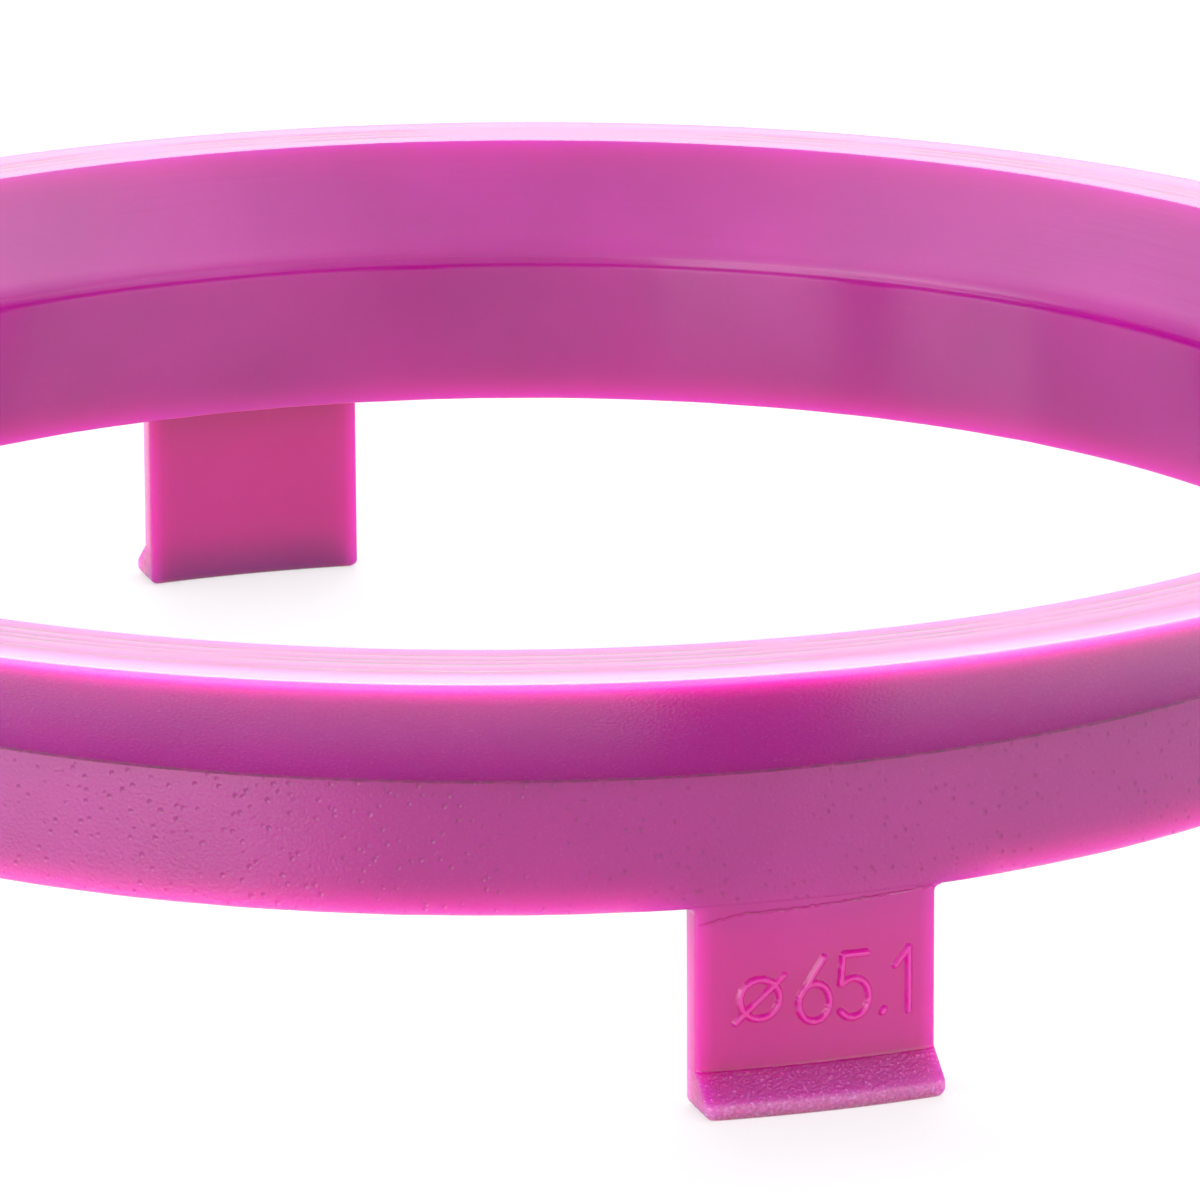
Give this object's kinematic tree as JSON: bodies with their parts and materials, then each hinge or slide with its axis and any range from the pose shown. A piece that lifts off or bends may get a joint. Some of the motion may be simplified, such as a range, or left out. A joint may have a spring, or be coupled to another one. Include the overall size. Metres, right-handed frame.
{
  "type": "hub centric ring",
  "caption": "Thin plastic wheel centring ring: round seat and bore, flared conical collar with a lead-in cone, and hooked clip tabs below that snap into the wheel's centre bore.",
  "frame": {"origin": "on the ring's axis, at the level of the tabs' feet", "axes": "+Z along the ring's axis, from the tabs' feet to the collar's flat face; the tabs stand on the diagonals between X and Y, so the gaps between them lie along X and Y"},
  "size_m": [0.0804, 0.0804, 0.017],
  "materials": {
    "translucent_plastic": "injection moulded translucent magenta plastic, semi-gloss, with a fine spark-eroded grain on the outer faces and a smooth bore"
  },
  "bodies": {
    "root": {"centring_ring": "translucent_plastic"}
  },
  "joints": []
}
